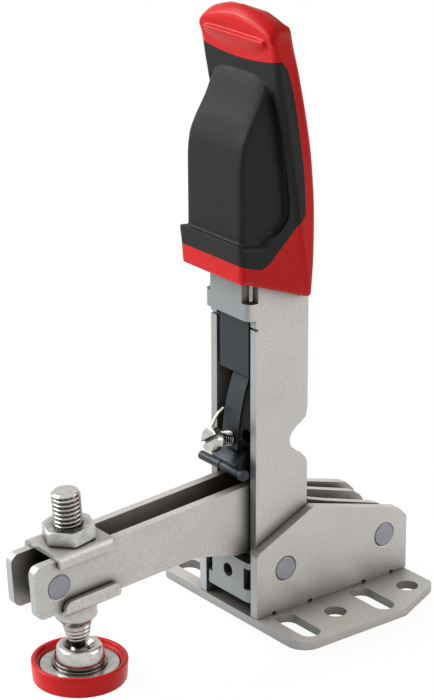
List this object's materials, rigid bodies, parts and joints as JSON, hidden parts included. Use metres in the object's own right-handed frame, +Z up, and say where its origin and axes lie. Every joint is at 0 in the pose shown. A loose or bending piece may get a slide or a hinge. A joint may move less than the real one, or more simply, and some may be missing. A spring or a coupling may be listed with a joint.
{
  "type": "vertical toggle clamp",
  "caption": "Vertical toggle clamp with a flanged base, an upright grip lever, a forked arm, a sliding threaded spindle with a swivel pressure foot and a self-adjusting link.",
  "frame": {"origin": "middle of the base plate's underside, the face that is bolted down", "axes": "+Z up out of the base, +X to the rear, the arm points to -X, every pivot axis runs along Y"},
  "size_m": [0.1246, 0.066, 0.1782],
  "materials": {
    "satin_sheet": "satin nickel plate with a fine blasted grain",
    "rivet_steel": "plain turned steel",
    "bright_zinc": "bright zinc plate",
    "black_oxide": "blue-black oxide",
    "spring_wire": "yellow passivated wire",
    "red_plastic": "fine textured red plastic",
    "black_plastic": "fine textured soft black plastic",
    "red_cap": "smooth red plastic"
  },
  "bodies": {
    "base": {"base_plate": "satin_sheet", "side_plate_near": "satin_sheet", "side_plate_far": "satin_sheet", "front_rivet": "rivet_steel", "rear_rivet": "rivet_steel", "lever_spacer": "rivet_steel"},
    "lever": {"lever_channel": "satin_sheet", "grip_shell": "red_plastic", "grip_insert": "black_plastic", "grip_pin": "rivet_steel"},
    "arm": {"arm_plate_near": "satin_sheet", "arm_plate_far": "satin_sheet", "arm_bush": "rivet_steel", "arm_washer_near": "rivet_steel", "arm_washer_far": "rivet_steel", "tip_rivet": "rivet_steel", "tip_spacer": "rivet_steel", "link_pin": "rivet_steel"},
    "link": {"link_plate": "black_oxide", "link_block": "black_oxide", "upper_pin": "black_oxide", "adjuster_leaf": "black_oxide", "pin_carrier": "black_oxide", "cross_pin": "black_oxide", "adjuster_spring": "spring_wire"},
    "screw": {"adjusting_screw": "bright_zinc"},
    "holder": {"upper_saddle": "satin_sheet", "lower_saddle": "satin_sheet", "top_nut": "bright_zinc", "collar_nut": "bright_zinc"},
    "spindle": {"spindle": "bright_zinc"},
    "foot": {"foot_socket": "bright_zinc", "foot_cap": "red_cap"}
  },
  "joints": [
    {"name": "lever_pivot", "type": "hinge", "parent": "base", "child": "lever", "pos_m": [-0.0168, 0, 0.0153], "axis": [0, 1, 0], "range_deg": [0, 76]},
    {"name": "arm_pivot", "type": "hinge", "parent": "base", "child": "arm", "pos_m": [0.0195, 0, 0.0153], "axis": [0, 1, 0], "range_deg": [0, 49.3]},
    {"name": "link_pivot", "type": "hinge", "parent": "arm", "child": "link", "pos_m": [-0.0164, 0, 0.0335], "axis": [0, 1, 0], "range_deg": [0, 76.7]},
    {"name": "screw_turn", "type": "hinge", "parent": "link", "child": "screw", "pos_m": [-0.0339, 0, 0.0543], "axis": [0.9827, 0, -0.185], "range_deg": [-360, 360]},
    {"name": "holder_slide", "type": "slide", "parent": "arm", "child": "holder", "axis": [0.9978, 0, 0.0663], "range_m": [0, 0.026]},
    {"name": "spindle_slide", "type": "slide", "parent": "holder", "child": "spindle", "axis": [-0.0663, 0, 0.9978], "range_m": [-0.008, 0.005]},
    {"name": "foot_swivel", "type": "hinge", "parent": "spindle", "child": "foot", "pos_m": [-0.07826, 0, 0.0028], "axis": [0, 1, 0], "range_deg": [-8, 8]}
  ],
  "couplings": [
    {"joint": "arm_pivot", "follows": "lever_pivot", "ratio": 0.648},
    {"joint": "link_pivot", "follows": "lever_pivot", "ratio": 1.008}
  ]
}
